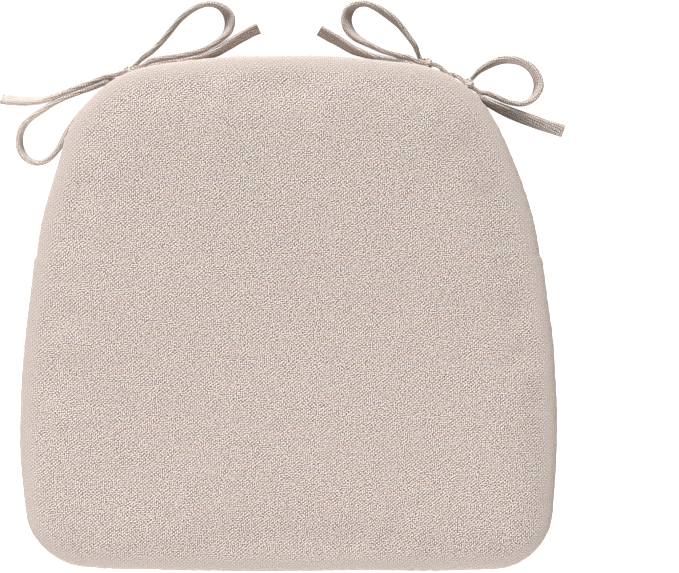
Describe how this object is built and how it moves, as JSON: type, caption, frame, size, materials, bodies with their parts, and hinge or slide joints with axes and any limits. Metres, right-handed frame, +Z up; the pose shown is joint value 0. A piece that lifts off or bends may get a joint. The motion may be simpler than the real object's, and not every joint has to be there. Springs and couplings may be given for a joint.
{
  "type": "chair seat cushion",
  "caption": "Boxed D-shaped chair seat pad with a foam core, a zipped linen-look cover and tie straps in bows at its back corners.",
  "frame": {"origin": "middle of the outline on the flat underside, where the cushion rests", "axes": "+X to the right across the width, +Y from the wide front edge to the narrow back edge, +Z up through the thickness"},
  "size_m": [0.4608, 0.4604, 0.06],
  "materials": {
    "cover_cloth": "matt beige linen-look weave",
    "underside_cloth": "matt woven cloth with gripper dots",
    "foam": "open-cell foam",
    "wadding": "polyester wadding",
    "zip_tape": "woven tape",
    "zip_nylon": "satin nylon",
    "zip_metal": "satin zinc alloy",
    "tie_cloth": "folded and stitched matt beige cloth"
  },
  "bodies": {
    "cover": {"top_panel": "cover_cloth", "front_boxing": "cover_cloth", "rear_boxing_upper": "cover_cloth", "rear_boxing_lower": "cover_cloth", "bottom_panel": "underside_cloth", "foam_core": "foam", "wadding_top": "wadding", "wadding_bottom": "wadding", "zipper_tape_upper": "zip_tape", "zipper_tape_lower": "zip_tape", "zipper_coil_upper": "zip_nylon", "zipper_coil_lower": "zip_nylon", "zipper_top_stop_upper": "zip_metal", "zipper_top_stop_lower": "zip_metal", "zipper_bottom_stop": "zip_metal", "tie_left_a": "tie_cloth", "tie_left_b": "tie_cloth", "tie_right_a": "tie_cloth", "tie_right_b": "tie_cloth"},
    "zip_slider": {"zipper_slider": "zip_metal"},
    "pull_tab": {"zipper_pull_tab": "zip_metal"}
  },
  "joints": [
    {"name": "slider_travel", "type": "hinge", "parent": "cover", "child": "zip_slider", "pos_m": [0, -0.4925, 0.03], "axis": [0, 0, 1], "range_deg": [0, 14.7]},
    {"name": "tab_swing", "type": "hinge", "parent": "zip_slider", "child": "pull_tab", "pos_m": [0.09025, 0.20398, 0.03], "axis": [0, 0, -1], "range_deg": [0, 175]}
  ]
}
